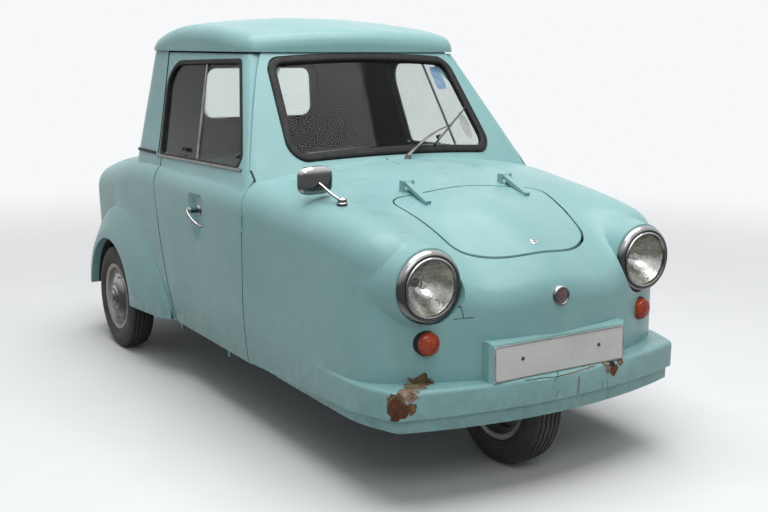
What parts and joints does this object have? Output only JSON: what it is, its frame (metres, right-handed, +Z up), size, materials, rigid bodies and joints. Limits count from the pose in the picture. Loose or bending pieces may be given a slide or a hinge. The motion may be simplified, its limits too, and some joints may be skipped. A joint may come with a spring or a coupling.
{
  "type": "three-wheeled microcar",
  "caption": "Small closed car with one steered wheel in front and two behind, with front-hinged doors, a bonnet lid with strap hinges and a rear engine lid.",
  "frame": {"origin": "on the ground under the middle of the car's length and width", "axes": "+Z up, front faces -Y, +X to the car's left"},
  "size_m": [1.354, 2.71, 1.4434],
  "materials": {
    "body_paint": "gloss",
    "frame_paint": "satin",
    "inner_shell": "matte",
    "seat_cloth": "matte",
    "window_glass": "gloss",
    "seal_rubber": "matte",
    "chrome_trim": "gloss",
    "lamp_glass": "gloss",
    "red_lens": "gloss",
    "plate_face": "satin",
    "black_plastic": "satin",
    "black_metal": "satin",
    "tyre": "matte",
    "wheel_paint": "satin",
    "cap_metal": "satin",
    "engine_metal": "matte",
    "exhaust_steel": "matte"
  },
  "bodies": {
    "body": {"badge": "chrome_trim", "cabin_tub": "inner_shell", "chassis_frame": "frame_paint", "dash_panel": "inner_shell", "engine_block": "engine_metal", "exhaust": "exhaust_steel", "front_body": "body_paint", "front_indicators": "lamp_glass", "front_plate": "plate_face", "front_skirt": "body_paint", "headlamp_bowls": "chrome_trim", "headlamp_lenses": "lamp_glass", "headlamp_rims": "chrome_trim", "lid_hinge_bases": "body_paint", "rear_axle": "frame_paint", "rear_body": "body_paint", "rear_dampers": "frame_paint", "rear_window_glass": "window_glass", "rear_window_seal": "seal_rubber", "roof": "body_paint", "seat_back": "seat_cloth", "seat_cushion": "seat_cloth", "seat_frame": "frame_paint", "steering_column": "black_metal", "tail_lamps": "red_lens", "windscreen_glass": "window_glass", "windscreen_seal": "seal_rubber", "wing_mirror": "black_plastic", "wiper": "black_metal"},
    "steer": {"front_fork": "frame_paint"},
    "front_roll": {"front_wheel": "wheel_paint", "front_tyre": "tyre"},
    "rear_left": {"rear_left_wheel": "wheel_paint", "rear_left_tyre": "tyre", "rear_left_hub_cap": "cap_metal"},
    "rear_right": {"rear_right_wheel": "wheel_paint", "rear_right_tyre": "tyre", "rear_right_hub_cap": "cap_metal"},
    "left_door": {"door_left": "body_paint", "door_left_glass": "window_glass", "door_left_handle": "chrome_trim"},
    "right_door": {"door_right": "body_paint", "door_right_glass": "window_glass", "door_right_handle": "chrome_trim"},
    "bonnet_lid": {"front_lid": "body_paint"},
    "rear_lid": {"engine_lid": "body_paint"},
    "hand_wheel": {"steering_wheel": "black_plastic"}
  },
  "joints": [
    {"name": "front_steer", "type": "hinge", "parent": "body", "child": "steer", "pos_m": [0, -1.07, 0.228], "axis": [0, 0.1392, 0.9903], "range_deg": [-35, 35]},
    {"name": "front_wheel_spin", "type": "hinge", "parent": "steer", "child": "front_roll", "pos_m": [0, -1.07, 0.228], "axis": [1, 0, 0], "continuous": true},
    {"name": "rear_left_spin", "type": "hinge", "parent": "body", "child": "rear_left", "pos_m": [0.6, 0.905, 0.228], "axis": [1, 0, 0], "continuous": true},
    {"name": "rear_right_spin", "type": "hinge", "parent": "body", "child": "rear_right", "pos_m": [-0.6, 0.905, 0.228], "axis": [1, 0, 0], "continuous": true},
    {"name": "left_door_hinge", "type": "hinge", "parent": "body", "child": "left_door", "pos_m": [0.648, -0.447, 0.755], "axis": [0, 0, 1], "range_deg": [-60, 0]},
    {"name": "right_door_hinge", "type": "hinge", "parent": "body", "child": "right_door", "pos_m": [-0.648, -0.447, 0.755], "axis": [0, 0, 1], "range_deg": [0, 60]},
    {"name": "bonnet_lid_hinge", "type": "hinge", "parent": "body", "child": "bonnet_lid", "pos_m": [0, -0.777, 0.894], "axis": [-1, 0, 0], "range_deg": [0, 60]},
    {"name": "rear_lid_hinge", "type": "hinge", "parent": "body", "child": "rear_lid", "pos_m": [0, 1.296, 0.741], "axis": [1, 0, 0], "range_deg": [0, 55]},
    {"name": "hand_wheel_turn", "type": "hinge", "parent": "body", "child": "hand_wheel", "pos_m": [-0.27, -0.215, 0.735], "axis": [0, 0.8927, 0.4507], "range_deg": [-175, 175]}
  ],
  "couplings": [
    {"joint": "hand_wheel_turn", "follows": "front_steer", "ratio": -5}
  ]
}
